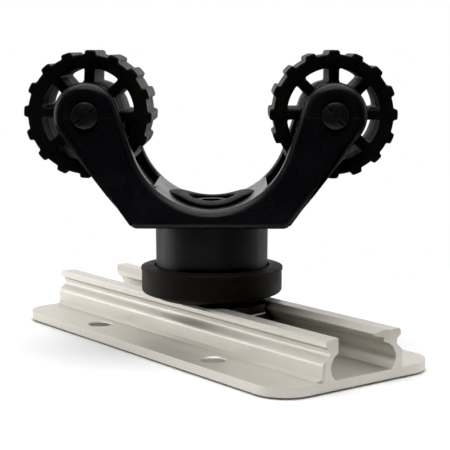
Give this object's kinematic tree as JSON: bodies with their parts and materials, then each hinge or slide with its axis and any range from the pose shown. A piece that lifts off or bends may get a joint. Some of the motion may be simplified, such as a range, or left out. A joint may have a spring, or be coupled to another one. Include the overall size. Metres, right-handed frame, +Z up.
{
  "type": "rod holder",
  "caption": "Track-mounted roller holder for a rod or paddle shaft: a U-shaped yoke with toothed rubber rollers on a post clamped in a T-slot track.",
  "frame": {"origin": "centre of the track's bottom face, where it rests on the deck", "axes": "+X along the track, +Y across the track, +Z up away from the deck"},
  "size_m": [0.1032, 0.0784, 0.0674],
  "materials": {
    "anodised_aluminium": "satin, bead-blasted and anodised",
    "satin_black_plastic": "satin gloss",
    "matte_black_plastic": "matte",
    "pad_rubber": "matte",
    "roller_rubber": "matte",
    "black_oxide_steel": "semi-matte black",
    "steel": "plain",
    "nylon": "matte"
  },
  "bodies": {
    "track": {"track_rail": "anodised_aluminium"},
    "slider": {"slider_plate": "black_oxide_steel", "clamp_bolt": "black_oxide_steel", "flat_washer": "steel"},
    "holder": {"post": "matte_black_plastic", "base_pad": "pad_rubber", "yoke": "satin_black_plastic", "saddle_pad": "pad_rubber", "left_axle_pin": "black_oxide_steel", "right_axle_pin": "black_oxide_steel", "left_axle_cap": "black_oxide_steel", "right_axle_cap": "black_oxide_steel", "left_front_spacer": "nylon", "left_rear_spacer": "nylon", "right_front_spacer": "nylon", "right_rear_spacer": "nylon"},
    "left_roller": {"left_wheel": "roller_rubber", "left_wheel_bush": "nylon"},
    "right_roller": {"right_wheel": "roller_rubber", "right_wheel_bush": "nylon"}
  },
  "joints": [
    {"name": "track_slide", "type": "slide", "parent": "track", "child": "slider", "axis": [1, 0, 0], "range_m": [-0.034, 0.034]},
    {"name": "holder_swivel", "type": "hinge", "parent": "slider", "child": "holder", "pos_m": [0, 0, 0.0283], "axis": [0, 0, 1], "continuous": true},
    {"name": "left_roller_spin", "type": "hinge", "parent": "holder", "child": "left_roller", "pos_m": [-0.01678, -0.0214, 0.0532], "axis": [-0.7869, 0.617, 0], "continuous": true},
    {"name": "right_roller_spin", "type": "hinge", "parent": "holder", "child": "right_roller", "pos_m": [0.01678, 0.0214, 0.0532], "axis": [-0.7869, 0.617, 0], "continuous": true}
  ]
}
